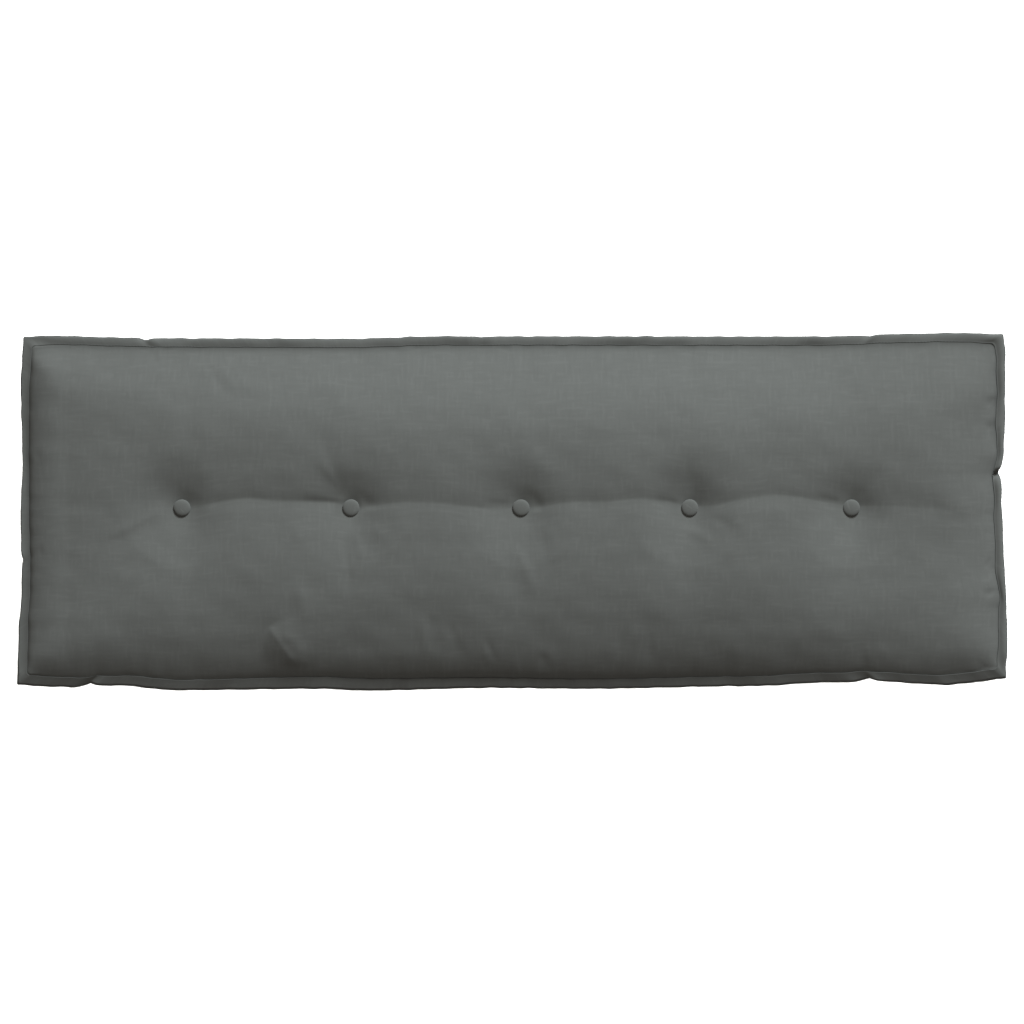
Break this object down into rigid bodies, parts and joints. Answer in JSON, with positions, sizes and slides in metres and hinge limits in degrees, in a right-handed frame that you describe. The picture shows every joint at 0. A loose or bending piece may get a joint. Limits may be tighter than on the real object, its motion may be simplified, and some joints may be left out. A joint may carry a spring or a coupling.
{
  "type": "back cushion",
  "caption": "Long tufted back cushion with a crowned front, a row of covered buttons and a narrow sewn flange round each face.",
  "frame": {"origin": "centre of the cushion's plan, on the surface that its back face lies on", "axes": "+X along the length, +Y up the height of the cushion in use, +Z out of the front face"},
  "size_m": [1.1009, 0.396, 0.0991],
  "materials": {
    "cover_cloth": "matt dark grey melange plain weave",
    "flange_cloth": "matt dark grey melange plain weave, doubled and topstitched",
    "button_cloth": "matt dark grey melange plain weave, stretched over a button"
  },
  "bodies": {
    "root": {"cushion": "cover_cloth", "front_flange": "flange_cloth", "back_flange": "flange_cloth", "button_1": "button_cloth", "button_2": "button_cloth", "button_3": "button_cloth", "button_4": "button_cloth", "button_5": "button_cloth"}
  },
  "joints": []
}
